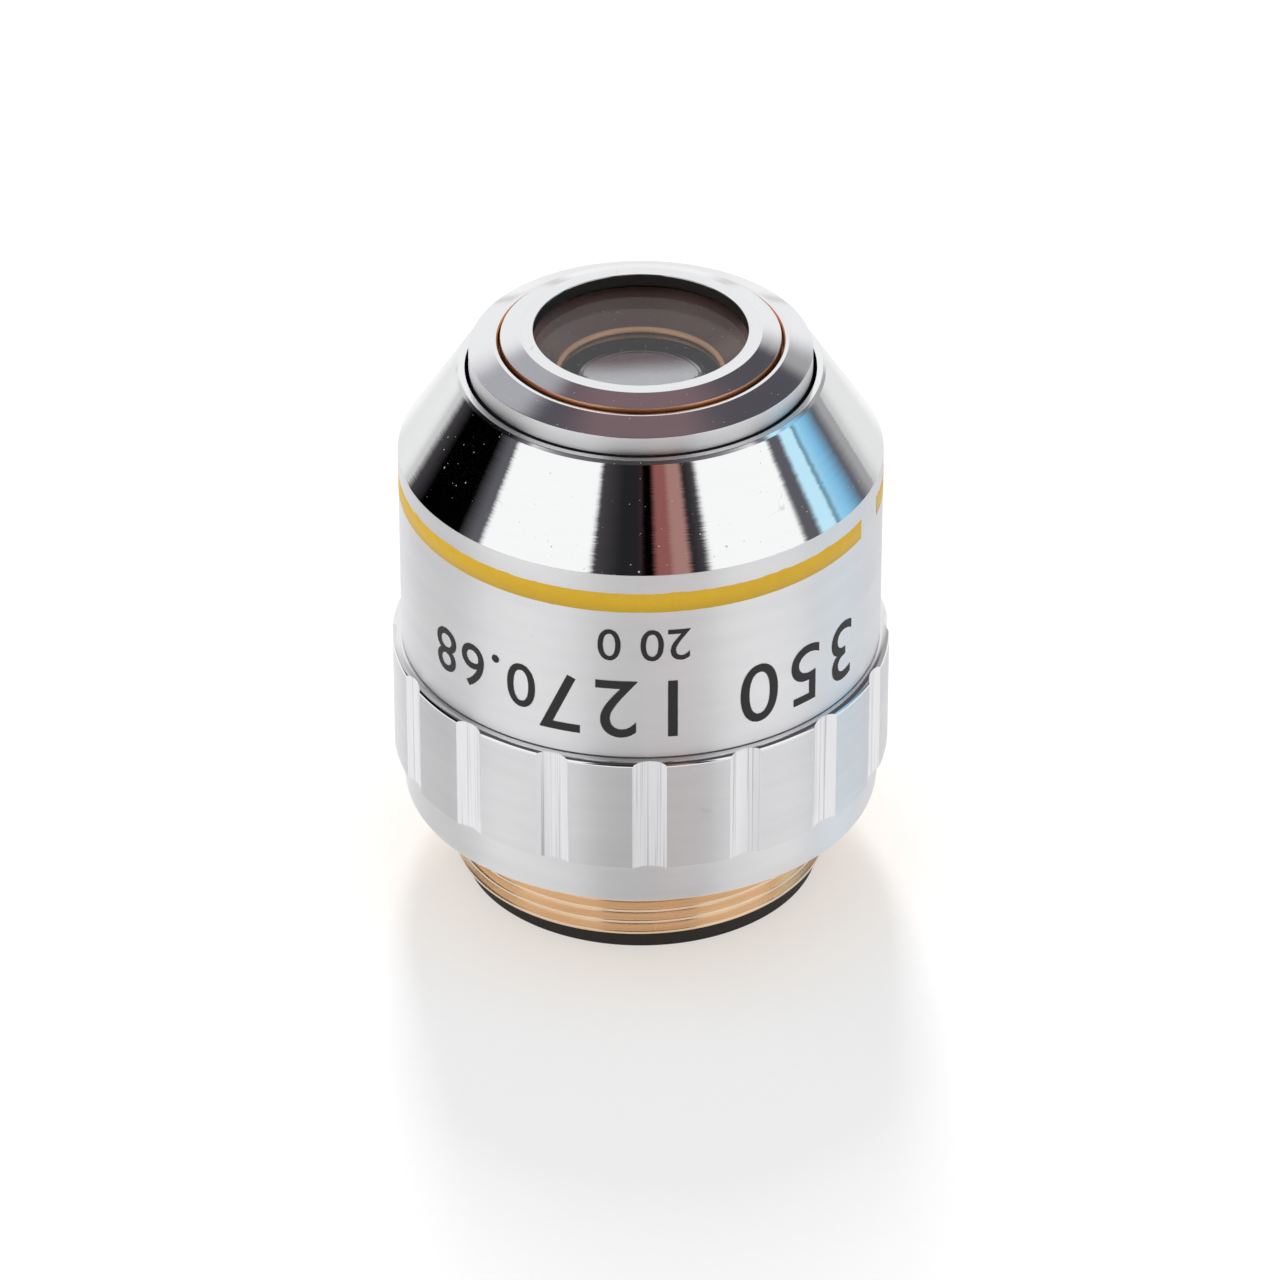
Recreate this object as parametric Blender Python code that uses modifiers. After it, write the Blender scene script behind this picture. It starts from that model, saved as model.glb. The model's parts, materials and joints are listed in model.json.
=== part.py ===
"""Microscope objective with a sprung nose, modelled piece by piece at real size.

The optical axis is Z and the nose points up. The origin is the centre of the
base, where the black ring stands on the bench. Lengths below are millimetres.
"""
import math

import bmesh
import bpy
from mathutils import Matrix, Vector

MM = 0.001
OUTER_STEPS = 64
INNER_STEPS = 32

# Clearances between pieces
SEAT_GAP = 0.02
THREAD_PLAY = 0.04
SLIDE_PLAY = 0.05
LENS_PLAY = 0.03
CEMENT = 0.02
SEAM_GAP = 0.06

# Mounting thread (20.32 mm RMS, 36 turns to the inch) and rear end
THREAD_RADIUS = 10.13
THREAD_PITCH = 0.7056
THREAD_DEPTH = 0.42
THREAD_CREST = 0.12
THREAD_RELIEF = 0.55
THREAD_LENGTH = 4.16
SHOULDER_GROOVE_MARGIN = 0.3
SHOULDER_GROOVE_DEPTH = 0.25
RING_RADIUS = 9.6
RING_HEIGHT = 0.94
RING_SPIGOT_WALL = 1.0
RING_SPIGOT_LENGTH = 2.1
RING_SLOT_WIDTH = 1.2
RING_SLOT_DEPTH = 0.45
RING_SLOT_MARGIN = 0.6
LIGHT_BORE = 7.6

# Lenses, all as radii, edge heights and sagittas
FRONT_LENS_RADIUS = 6.2
FRONT_LENS_EDGE = 0.62
FRONT_LENS_HOLLOW = 0.12
MENISCUS_STEP = 0.3
MENISCUS_EDGE = 1.1
MENISCUS_SAG = 0.75
MENISCUS_BACK_SAG = 0.3
MIDDLE_LENS_RADIUS = 5.6
MIDDLE_CROWN_EDGE = 0.9
MIDDLE_CROWN_SAG = 0.75
MIDDLE_JOINT_SAG = 0.6
MIDDLE_FLINT_EDGE = 1.3
MIDDLE_BACK_SAG = 0.35
REAR_LENS_RADIUS = 5.3
REAR_CROWN_EDGE = 0.9
REAR_CROWN_SAG = 0.55
REAR_JOINT_SAG = 0.45
REAR_FLINT_EDGE = 1.4
REAR_BACK_SAG = 0.3

# Front cell
NOSE_LIP_OVERLAP = 0.56
NOSE_FLAT_WIDTH = 0.73
NOSE_LIP = 0.67
CELL_SHOULDER = 0.35
CELL_BEVEL = 0.36
CELL_HEAD = 1.7
CELL_PROUD = 0.55
CELL_SPIGOT_WALL = 0.78
CELL_SPIGOT_LENGTH = 3.9
BAFFLE_HEIGHT = 0.95
BAFFLE_RADIUS = 4.2
BAFFLE_LIP = 0.15
BAFFLE_EDGE = 0.175

# Rings, cells and spacers of the lens stack
CELL_LIP = 0.8
CELL_LIP_HEIGHT = 0.6
LOCK_RING_HEIGHT = 0.6
LOCK_RING_WIDTH = 0.9
SPACER_WALL = 0.7
SHORT_SPACER = 1.0
LONG_SPACER = 3.4
STOP_HEIGHT = 0.4
STOP_APERTURE = 3.6
STACK_LIP = 0.8

# Barrel that slides in the collar
CELL_GAP = 0.14
RIM_WIDTH = 0.26
BARREL_WALL = 1.97
BARREL_BEVEL = 0.58
BARREL_LENGTH = 14.05
FLANGE_WIDTH = 1.08
FLANGE_LENGTH = 5.0
TAIL_WALL = 1.15
TAIL_LENGTH = 2.0
NOSE_TRAVEL = 1.5

# Spring, its seat, and what stops the barrel
SEAT_RING_HEIGHT = 0.5
SPRING_LENGTH = 5.44
SPRING_WIRE = 0.8
SPRING_TURNS = 3.5
SPRING_END_TURNS = 0.75
SPRING_POINTS = 16
SHIM_HEIGHT = 0.3
STOP_RING_HEIGHT = 1.5
GUIDE_SCREW_RADIUS = 0.8
GUIDE_TIP_RADIUS = 0.6
GUIDE_ENGAGEMENT = 0.85
GUIDE_SCREW_HEIGHT = 2.2

# Collar
FLOOR_THICKNESS = 1.9
SPIGOT_WALL = 1.2
COLLAR_STEP = 0.49
COLLAR_BEVEL = 0.27
COLLAR_TAPER = 0.25
COLLAR_BAND_HEIGHT = 2.47
FLUTED_HEIGHT = 6.38
FLUTE_COUNT = 16
FLUTE_WIDTH = 1.8
FLUTE_DEPTH = 0.27
FLUTE_PHASE = -88.0
FLUTE_CUTTER_STEPS = 28

# Sleeve
SLEEVE_WALL = 1.41
SLEEVE_SKIRT = 11.23
CONE_HEIGHT = 4.77
CONE_WALL = 1.1
NOSE_GAP = 0.15
SLEEVE_RIM = 0.38
SLEEVE_FACET_WIDTH = 0.15
SLEEVE_FACET_HEIGHT = 0.16

# Heights worked out from the base up
thread_start = RING_HEIGHT + SEAT_GAP
shoulder_z = thread_start + THREAD_LENGTH
band_top = shoulder_z + COLLAR_BAND_HEIGHT
land_top = band_top + FLUTED_HEIGHT
collar_top = land_top + COLLAR_BEVEL
floor_z = shoulder_z + FLOOR_THICKNESS
seat_bottom = floor_z + SEAT_GAP
seat_top = seat_bottom + SEAT_RING_HEIGHT
spring_bottom = seat_top + SEAT_GAP
spring_top = spring_bottom + SPRING_LENGTH
flange_bottom = spring_top + SEAT_GAP
flange_top = flange_bottom + FLANGE_LENGTH
tail_bottom = flange_bottom - TAIL_LENGTH
shim_bottom = flange_top + SEAT_GAP
shim_top = shim_bottom + SHIM_HEIGHT
stop_bottom = shim_top + SEAT_GAP
stop_top = stop_bottom + STOP_RING_HEIGHT
barrel_top = flange_top + BARREL_LENGTH
nose_z = barrel_top + CELL_PROUD
screw_z = collar_top + SEAM_GAP + GUIDE_SCREW_RADIUS + (GUIDE_SCREW_HEIGHT - 2 * GUIDE_SCREW_RADIUS) / 2

# Radii worked out from the lens stack outwards
nose_aperture = FRONT_LENS_RADIUS - NOSE_LIP_OVERLAP
nose_flat_radius = nose_aperture + NOSE_FLAT_WIDTH
meniscus_radius = FRONT_LENS_RADIUS - MENISCUS_STEP
cell_pocket = FRONT_LENS_RADIUS + LENS_PLAY
cell_spigot = cell_pocket + CELL_SPIGOT_WALL
cell_radius = cell_spigot + CELL_SHOULDER
barrel_bore = cell_spigot + THREAD_PLAY
cell_hole = cell_radius + CELL_GAP
rim_radius = cell_hole + RIM_WIDTH
barrel_radius = barrel_bore + BARREL_WALL
flange_radius = barrel_radius + FLANGE_WIDTH
tail_bore = barrel_bore - STACK_LIP
tail_radius = barrel_bore + TAIL_WALL
chamber_radius = flange_radius + SLIDE_PLAY
spigot_radius = chamber_radius + SPIGOT_WALL
sleeve_bore = spigot_radius + THREAD_PLAY
body_radius = sleeve_bore + SLEEVE_WALL
land_radius = body_radius + COLLAR_STEP
flute_floor = land_radius - FLUTE_DEPTH
band_radius = flute_floor - SLIDE_PLAY
collar_foot = band_radius - COLLAR_TAPER
thread_root = THREAD_RADIUS - THREAD_DEPTH
nose_bore = barrel_radius + NOSE_GAP


def start_scene():
    """Empty the scene and make one collection for the parts and one for cutters."""
    for old in list(bpy.data.objects):
        bpy.data.objects.remove(old)
    parts = bpy.data.collections.new("microscope_objective")
    cutters = bpy.data.collections.new("cutters")
    for group in (parts, cutters):
        bpy.context.scene.collection.children.link(group)
    return parts, cutters


def make_material(name, color, metallic, roughness, transmission=0.0):
    """A Principled material with plain values."""
    material = bpy.data.materials.new(name)
    material.use_nodes = True
    shader = material.node_tree.nodes["Principled BSDF"]
    shader.inputs["Base Color"].default_value = (*color, 1.0)
    shader.inputs["Metallic"].default_value = metallic
    shader.inputs["Roughness"].default_value = roughness
    shader.inputs["Transmission Weight"].default_value = transmission
    material.diffuse_color = (*color, 1.0)
    return material


def make_materials():
    """Every finish of the objective, by name."""
    finishes = {
        "polished_plate": ((0.83, 0.84, 0.85), 1.0, 0.12),
        "satin_plate": ((0.74, 0.74, 0.75), 1.0, 0.32),
        "brass": ((0.80, 0.58, 0.30), 1.0, 0.28),
        "black_anodised": ((0.02, 0.02, 0.022), 0.0, 0.55),
        "spring_steel": ((0.50, 0.50, 0.52), 1.0, 0.30),
    }
    made = {name: make_material(name, *values) for name, values in finishes.items()}
    made["coated_glass"] = make_material("coated_glass", (0.86, 0.90, 0.95), 0.0, 0.02, 1.0)
    return made


def turned(name, profile, material, group, steps=INNER_STEPS, closed=True):
    """Turn a profile of (radius, height) points in millimetres about Z.

    The points run outwards along the top, down the outer side and back.
    """
    mesh = bpy.data.meshes.new(name)
    points = [(r * MM, 0.0, z * MM) for r, z in profile]
    edges = [(i, i + 1) for i in range(len(points) - 1)]
    if closed:
        edges.append((len(points) - 1, 0))
    mesh.from_pydata(points, edges, [])
    piece = bpy.data.objects.new(name, mesh)
    group.objects.link(piece)
    screw = piece.modifiers.new("turn", "SCREW")
    screw.axis = "Z"
    screw.angle = math.tau
    screw.steps = steps
    screw.render_steps = steps
    screw.use_merge_vertices = True
    screw.merge_threshold = 0.000001
    if material:
        mesh.materials.append(material)
    return piece


def ring(name, inner, outer, bottom, top, material, group, steps=INNER_STEPS):
    """A plain ring of rectangular section."""
    profile = [(inner, top), (outer, top), (outer, bottom), (inner, bottom)]
    return turned(name, profile, material, group, steps)


def dome(radius, sag, steps=4):
    """Points of a spherical cap from the axis to its edge, as radius and height."""
    if sag == 0:
        return [(0.0, 0.0), (radius, 0.0)]
    curve = (radius * radius + sag * sag) / (2 * abs(sag))
    heights = []
    for i in range(steps + 1):
        r = radius * i / steps
        rise = math.sqrt(curve * curve - r * r) - (curve - abs(sag))
        heights.append((r, math.copysign(rise, sag)))
    return heights


def lens(name, radius, edge_bottom, edge, top_sag, bottom_sag, material, group):
    """A lens with spherical faces; a positive sagitta bulges upwards on either face."""
    top = [(r, edge_bottom + edge + rise) for r, rise in dome(radius, top_sag)]
    bottom = [(r, edge_bottom + rise) for r, rise in dome(radius, bottom_sag)]
    return turned(name, top + bottom[::-1], material, group, closed=False)


def add_cut(piece, cutter, group):
    """Cut a piece with a hidden cutter."""
    cutter.hide_render = True
    cutter.display_type = "WIRE"
    for owner in list(cutter.users_collection):
        owner.objects.unlink(cutter)
    group.objects.link(cutter)
    boolean = piece.modifiers.new("cut_" + cutter.name, "BOOLEAN")
    boolean.operation = "DIFFERENCE"
    boolean.solver = "EXACT"
    boolean.object = cutter


def cylinder_object(name, placements, radius, depth, steps, group):
    """One object holding a cylinder at each placement matrix."""
    shape = bmesh.new()
    for placement in placements:
        bmesh.ops.create_cone(
            shape, cap_ends=True, segments=steps, radius1=radius * MM,
            radius2=radius * MM, depth=depth * MM, matrix=placement,
        )
    mesh = bpy.data.meshes.new(name)
    shape.to_mesh(mesh)
    shape.free()
    piece = bpy.data.objects.new(name, mesh)
    group.objects.link(piece)
    return piece


def box_object(name, size, centre, group):
    """A box of a given size in millimetres about a centre."""
    shape = bmesh.new()
    scale = Matrix.Diagonal((size[0] * MM, size[1] * MM, size[2] * MM, 1.0))
    place = Matrix.Translation(Vector(centre) * MM)
    bmesh.ops.create_cube(shape, size=1.0, matrix=place @ scale)
    mesh = bpy.data.meshes.new(name)
    shape.to_mesh(mesh)
    shape.free()
    piece = bpy.data.objects.new(name, mesh)
    group.objects.link(piece)
    return piece


def thread_profile():
    """Ridges of the mounting thread, under a groove that keeps the shoulder clear of them."""
    top = shoulder_z - THREAD_RELIEF
    count = int((top - thread_start) / THREAD_PITCH)
    groove_radius = THREAD_RADIUS + SHOULDER_GROOVE_MARGIN
    groove_top = shoulder_z + SHOULDER_GROOVE_DEPTH
    points = [
        (groove_radius, shoulder_z),
        (groove_radius, groove_top),
        (thread_root, groove_top),
        (thread_root, top),
    ]
    for turn in range(count):
        crest = top - (turn + 0.5) * THREAD_PITCH
        points.append((THREAD_RADIUS, crest + THREAD_CREST / 2))
        points.append((THREAD_RADIUS, crest - THREAD_CREST / 2))
        points.append((thread_root, crest - THREAD_PITCH / 2))
    points.append((thread_root, thread_start))
    return points


def make_collar(parts, cutters, finish):
    """Fluted collar with its spigot, spring chamber and mounting thread."""
    socket = LIGHT_BORE + RING_SPIGOT_WALL + THREAD_PLAY
    socket_top = thread_start + RING_SPIGOT_LENGTH + SEAT_GAP
    outside = [
        (chamber_radius, stop_top),
        (spigot_radius, stop_top),
        (spigot_radius, collar_top),
        (body_radius, collar_top),
        (land_radius, land_top),
        (land_radius, band_top),
        (band_radius, band_top),
        (collar_foot, shoulder_z),
    ]
    inside = [
        (socket, thread_start),
        (socket, socket_top),
        (LIGHT_BORE, socket_top),
        (LIGHT_BORE, floor_z),
        (chamber_radius, floor_z),
    ]
    profile = outside + thread_profile() + inside
    collar = turned("mount_collar", profile, finish["satin_plate"], parts, OUTER_STEPS)

    # A round-nosed cutter, as wide as the flute where it leaves the land
    sagitta = FLUTE_DEPTH - (land_radius - math.sqrt(land_radius ** 2 - (FLUTE_WIDTH / 2) ** 2))
    cutter_radius = (sagitta ** 2 + (FLUTE_WIDTH / 2) ** 2) / (2 * sagitta)
    overrun = COLLAR_BEVEL + SEAM_GAP
    depth = FLUTED_HEIGHT + 2 * overrun
    places = []
    for index in range(FLUTE_COUNT):
        angle = math.radians(FLUTE_PHASE + 360.0 * index / FLUTE_COUNT)
        centre = Vector(((flute_floor + cutter_radius) * MM, 0.0, (band_top + FLUTED_HEIGHT / 2) * MM))
        places.append(Matrix.Rotation(angle, 4, "Z") @ Matrix.Translation(centre))
    flutes = cylinder_object("flute_cutter", places, cutter_radius, depth, FLUTE_CUTTER_STEPS, cutters)
    add_cut(collar, flutes, cutters)

    hole = cylinder_object(
        "guide_hole_cutter", [radial_place(chamber_radius + SPIGOT_WALL / 2)],
        GUIDE_SCREW_RADIUS + THREAD_PLAY, SPIGOT_WALL * 2, 16, cutters,
    )
    add_cut(collar, hole, cutters)


def radial_place(radius):
    """Placement of a cylinder that lies along +Y at the guide screw's height."""
    turn = Matrix.Rotation(math.radians(-90.0), 4, "X")
    return Matrix.Translation(Vector((0.0, radius * MM, screw_z * MM))) @ turn


def make_rear_ring(parts, cutters, finish):
    """Black ring screwed in the rear end, with two slots for a spanner."""
    spigot = LIGHT_BORE + RING_SPIGOT_WALL
    bore = LIGHT_BORE
    profile = [
        (bore, RING_HEIGHT + RING_SPIGOT_LENGTH),
        (spigot, RING_HEIGHT + RING_SPIGOT_LENGTH),
        (spigot, RING_HEIGHT),
        (RING_RADIUS, RING_HEIGHT),
        (RING_RADIUS, 0.0),
        (bore, 0.0),
    ]
    piece = turned("rear_retaining_ring", profile, finish["black_anodised"], parts, OUTER_STEPS)
    slot = box_object(
        "spanner_slot_cutter",
        (2 * (RING_RADIUS - RING_SLOT_MARGIN), RING_SLOT_WIDTH, 2 * RING_SLOT_DEPTH),
        (0.0, 0.0, 0.0), cutters,
    )
    add_cut(piece, slot, cutters)


def make_spring_set(parts, finish):
    """Seat ring, spring, shim and stop ring inside the collar."""
    guide_bore = barrel_radius + SLIDE_PLAY
    ring("spring_seat_ring", tail_radius + SLIDE_PLAY, chamber_radius - SLIDE_PLAY,
         seat_bottom, seat_top, finish["brass"], parts)
    ring("parfocal_shim", guide_bore, chamber_radius - SLIDE_PLAY,
         shim_bottom, shim_top, finish["brass"], parts)
    ring("stop_ring", guide_bore, chamber_radius - THREAD_PLAY,
         stop_bottom, stop_top, finish["black_anodised"], parts)

    # The coil closes up at both ends, where it lies on its seats
    wire = SPRING_WIRE / 2
    radius = (chamber_radius + tail_radius) / 2
    low = spring_bottom + wire
    high = spring_top - wire
    end_rise = SPRING_END_TURNS * SPRING_WIRE * 1.1
    points = int(SPRING_TURNS * SPRING_POINTS) + 1
    curve = bpy.data.curves.new("return_spring", "CURVE")
    curve.dimensions = "3D"
    curve.bevel_depth = wire * MM
    curve.bevel_resolution = 2
    curve.use_fill_caps = True
    spline = curve.splines.new("POLY")
    spline.points.add(points - 1)
    for index in range(points):
        turn = SPRING_TURNS * index / (points - 1)
        if turn < SPRING_END_TURNS:
            z = low + end_rise * turn / SPRING_END_TURNS
        elif turn > SPRING_TURNS - SPRING_END_TURNS:
            z = high - end_rise * (SPRING_TURNS - turn) / SPRING_END_TURNS
        else:
            share = (turn - SPRING_END_TURNS) / (SPRING_TURNS - 2 * SPRING_END_TURNS)
            z = low + end_rise + (high - low - 2 * end_rise) * share
        angle = math.tau * turn
        place = (radius * math.cos(angle) * MM, radius * math.sin(angle) * MM, z * MM, 1.0)
        spline.points[index].co = place
    curve.materials.append(finish["spring_steel"])
    parts.objects.link(bpy.data.objects.new("return_spring", curve))


def make_guide_screw(parts, finish):
    """Dog-point screw through the spigot that keeps the barrel from turning."""
    tip_end = flange_radius - GUIDE_ENGAGEMENT
    head_end = spigot_radius - SEAT_GAP
    step = chamber_radius + SEAT_GAP
    profile = [
        (0.0, head_end),
        (GUIDE_SCREW_RADIUS, head_end),
        (GUIDE_SCREW_RADIUS, step),
        (GUIDE_TIP_RADIUS, step),
        (GUIDE_TIP_RADIUS, tip_end),
        (0.0, tip_end),
    ]
    screw = turned("guide_screw", profile, finish["spring_steel"], parts, 16, closed=False)
    screw.matrix_world = radial_place(0.0)


def make_sleeve(parts, finish):
    """Outer shell: straight skirt, polished cone and a thin front rim."""
    skirt_bottom = collar_top + SEAM_GAP
    cone_bottom = skirt_bottom + SLEEVE_SKIRT
    cone_top = cone_bottom + CONE_HEIGHT
    rim_outer = nose_bore + SLEEVE_RIM
    cone_radius = rim_outer + SLEEVE_FACET_WIDTH
    rim_z = cone_top + SLEEVE_FACET_HEIGHT
    slope = (body_radius - cone_radius) / CONE_HEIGHT
    wall = CONE_WALL * math.sqrt(1 + slope * slope)
    bore_top = cone_bottom + (body_radius - wall - sleeve_bore) / slope
    land_bottom = cone_bottom + (body_radius - wall - nose_bore) / slope
    profile = [
        (nose_bore, rim_z),
        (rim_outer, rim_z),
        (cone_radius, cone_top),
        (body_radius, cone_bottom),
        (body_radius, skirt_bottom),
        (sleeve_bore, skirt_bottom),
        (sleeve_bore, bore_top),
        (nose_bore, land_bottom),
    ]
    turned("outer_sleeve", profile, finish["polished_plate"], parts, OUTER_STEPS)


def make_barrel(parts, cutters, finish, stack_bottom):
    """Sliding lens tube with its flange, tail and guide slot."""
    hole_bottom = nose_z - CELL_HEAD - SEAT_GAP
    profile = [
        (cell_hole, barrel_top),
        (rim_radius, barrel_top),
        (barrel_radius, barrel_top - BARREL_BEVEL),
        (barrel_radius, flange_top),
        (flange_radius, flange_top),
        (flange_radius, flange_bottom),
        (tail_radius, flange_bottom),
        (tail_radius, tail_bottom),
        (tail_bore, tail_bottom),
        (tail_bore, stack_bottom - SEAT_GAP),
        (barrel_bore, stack_bottom - SEAT_GAP),
        (barrel_bore, hole_bottom),
        (cell_hole, hole_bottom),
    ]
    barrel = turned("inner_barrel", profile, finish["satin_plate"], parts, OUTER_STEPS)
    slot_floor = flange_radius - GUIDE_ENGAGEMENT - SLIDE_PLAY
    reach = flange_radius + SLIDE_PLAY - slot_floor
    slot = box_object(
        "guide_slot_cutter",
        (2 * (GUIDE_TIP_RADIUS + SLIDE_PLAY), 2 * reach, FLANGE_LENGTH * 1.2),
        (0.0, slot_floor + reach, flange_bottom + FLANGE_LENGTH / 2), cutters,
    )
    add_cut(barrel, slot, cutters)


def make_front_cell(parts, finish):
    """Front cell with the front glass, the dished baffle, the meniscus and its lock ring."""
    head_bottom = nose_z - CELL_HEAD
    spigot_bottom = head_bottom - CELL_SPIGOT_LENGTH
    lens_top = nose_z - NOSE_LIP
    profile = [
        (nose_aperture, nose_z),
        (nose_flat_radius, nose_z),
        (cell_radius, nose_z - CELL_BEVEL),
        (cell_radius, head_bottom),
        (cell_spigot, head_bottom),
        (cell_spigot, spigot_bottom),
        (cell_pocket, spigot_bottom),
        (cell_pocket, lens_top),
        (nose_aperture, lens_top),
    ]
    turned("front_cell", profile, finish["satin_plate"], parts, OUTER_STEPS)

    glass_top = lens_top - SEAT_GAP
    glass_bottom = glass_top - FRONT_LENS_EDGE
    lens("front_lens", FRONT_LENS_RADIUS, glass_bottom, FRONT_LENS_EDGE,
         0.0, FRONT_LENS_HOLLOW, finish["coated_glass"], parts)

    dish_top = glass_bottom - SEAT_GAP
    dish_bottom = dish_top - BAFFLE_HEIGHT
    dish = [
        (nose_aperture + BAFFLE_EDGE, dish_top),
        (FRONT_LENS_RADIUS, dish_top),
        (FRONT_LENS_RADIUS, dish_bottom),
        (BAFFLE_RADIUS, dish_bottom),
        (BAFFLE_RADIUS, dish_bottom + BAFFLE_LIP),
    ]
    turned("front_baffle", dish, finish["brass"], parts)

    # The meniscus bulges into the baffle's opening and rests on its rim
    opening_rise = MENISCUS_SAG - cap_height(meniscus_radius, MENISCUS_SAG, BAFFLE_RADIUS)
    rest_drop = MENISCUS_SAG - opening_rise
    meniscus_top = dish_bottom - SEAT_GAP - rest_drop
    meniscus_bottom = meniscus_top - MENISCUS_EDGE
    lens("front_meniscus", meniscus_radius, meniscus_bottom, MENISCUS_EDGE,
         MENISCUS_SAG, MENISCUS_BACK_SAG, finish["coated_glass"], parts)
    lock_top = meniscus_bottom - SEAT_GAP
    lock_bottom = lock_top - LOCK_RING_HEIGHT
    ring("front_lock_ring", meniscus_radius - LOCK_RING_WIDTH, FRONT_LENS_RADIUS,
         lock_bottom, lock_top, finish["black_anodised"], parts)
    return spigot_bottom


def cap_height(radius, sag, at):
    """Height of a spherical cap above its edge at a given distance from the axis."""
    curve = (radius * radius + sag * sag) / (2 * sag)
    return math.sqrt(curve * curve - at * at) - (curve - sag)


def make_doublet(prefix, top, radius, crown, flint, sags, parts, finish):
    """A cell with a cemented pair and its lock ring, hung from a given top.

    The cell's lip is below the glass and the lock ring closes it from above.
    Returns the cell's bottom.
    """
    top_sag, joint_sag, back_sag = sags
    outer = barrel_bore - SLIDE_PLAY
    pocket = radius + LENS_PLAY
    lock_top = top
    lock_bottom = lock_top - LOCK_RING_HEIGHT
    swell = cap_height(radius, top_sag, radius - LOCK_RING_WIDTH)
    crown_bottom = lock_bottom - SEAT_GAP - swell - crown
    flint_bottom = crown_bottom - CEMENT - flint
    lip_top = flint_bottom - SEAT_GAP
    bottom = lip_top - CELL_LIP_HEIGHT
    profile = [
        (pocket, top),
        (outer, top),
        (outer, bottom),
        (radius - CELL_LIP, bottom),
        (radius - CELL_LIP, lip_top),
        (pocket, lip_top),
    ]
    turned(prefix + "_cell", profile, finish["brass"], parts)
    lens(prefix + "_crown", radius, crown_bottom, crown, top_sag, -joint_sag, finish["coated_glass"], parts)
    lens(prefix + "_flint", radius, flint_bottom, flint, -joint_sag, back_sag, finish["coated_glass"], parts)
    ring(prefix + "_lock_ring", radius - LOCK_RING_WIDTH, radius,
         lock_bottom, lock_top, finish["black_anodised"], parts)
    return bottom


def make_lens_stack(top, parts, finish):
    """Spacers and cells under the front cell. Returns the stack's bottom."""
    outer = barrel_bore - SLIDE_PLAY
    short_top = top - SEAT_GAP
    short_bottom = short_top - SHORT_SPACER
    ring("short_spacer", outer - SPACER_WALL, outer, short_bottom, short_top, finish["black_anodised"], parts)
    middle_bottom = make_doublet(
        "middle", short_bottom - SEAT_GAP, MIDDLE_LENS_RADIUS, MIDDLE_CROWN_EDGE, MIDDLE_FLINT_EDGE,
        (MIDDLE_CROWN_SAG, MIDDLE_JOINT_SAG, MIDDLE_BACK_SAG), parts, finish,
    )
    long_top = middle_bottom - SEAT_GAP
    long_bottom = long_top - LONG_SPACER
    ring("long_spacer", outer - SPACER_WALL, outer, long_bottom, long_top, finish["black_anodised"], parts)
    stop_top_z = long_bottom - SEAT_GAP
    stop_bottom_z = stop_top_z - STOP_HEIGHT
    ring("aperture_stop", STOP_APERTURE, outer, stop_bottom_z, stop_top_z, finish["black_anodised"], parts)
    return make_doublet(
        "rear", stop_bottom_z - SEAT_GAP, REAR_LENS_RADIUS, REAR_CROWN_EDGE, REAR_FLINT_EDGE,
        (REAR_CROWN_SAG, REAR_JOINT_SAG, REAR_BACK_SAG), parts, finish,
    )


def settle(parts):
    """Turn the modifiers into plain meshes with smooth round faces and sharp edges."""
    bpy.context.view_layer.update()
    graph = bpy.context.evaluated_depsgraph_get()
    solids = [piece for piece in parts.objects if piece.type == "MESH"]
    meshes = [bpy.data.meshes.new_from_object(piece.evaluated_get(graph)) for piece in solids]
    for piece, mesh in zip(solids, meshes):
        piece.modifiers.clear()
        piece.data = mesh
        mesh.name = piece.name
        mesh.shade_smooth()
        mesh.set_sharp_from_angle(angle=math.radians(24.0))


def main():
    parts, cutters = start_scene()
    finish = make_materials()
    make_collar(parts, cutters, finish)
    make_rear_ring(parts, cutters, finish)
    make_spring_set(parts, finish)
    make_guide_screw(parts, finish)
    make_sleeve(parts, finish)
    stack_top = make_front_cell(parts, finish)
    stack_bottom = make_lens_stack(stack_top, parts, finish)
    make_barrel(parts, cutters, finish, stack_bottom)
    settle(parts)


main()
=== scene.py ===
import json
import math
import random

import bmesh
import bpy
from mathutils import Matrix, Vector


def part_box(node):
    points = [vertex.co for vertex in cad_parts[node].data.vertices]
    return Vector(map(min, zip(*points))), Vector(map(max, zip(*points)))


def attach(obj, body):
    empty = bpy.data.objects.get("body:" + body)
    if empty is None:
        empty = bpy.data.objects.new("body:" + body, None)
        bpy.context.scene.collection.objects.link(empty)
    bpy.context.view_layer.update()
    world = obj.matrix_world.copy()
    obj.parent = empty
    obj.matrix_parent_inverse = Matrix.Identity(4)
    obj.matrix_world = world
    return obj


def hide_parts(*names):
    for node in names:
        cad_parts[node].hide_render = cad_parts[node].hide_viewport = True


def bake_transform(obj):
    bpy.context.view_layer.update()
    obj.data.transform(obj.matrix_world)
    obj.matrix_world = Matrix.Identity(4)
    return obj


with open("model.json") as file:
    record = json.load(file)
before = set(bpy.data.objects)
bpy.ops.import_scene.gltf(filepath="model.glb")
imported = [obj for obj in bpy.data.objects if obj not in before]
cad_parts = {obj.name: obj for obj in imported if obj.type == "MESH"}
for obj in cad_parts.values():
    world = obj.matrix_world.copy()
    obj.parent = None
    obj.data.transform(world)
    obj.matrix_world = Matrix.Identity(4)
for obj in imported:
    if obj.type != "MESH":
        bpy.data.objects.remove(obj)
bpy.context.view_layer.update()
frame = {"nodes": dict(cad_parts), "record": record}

mm = 0.001
scene = bpy.context.scene
scene.view_settings.view_transform = "Standard"
print("frame loaded:", len(frame["nodes"]), "nodes")


# Small helpers for meshes


lathe = {"steps": 360, "filletSteps": 5, "filletShare": 0.45, "hold": 0.035}


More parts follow.
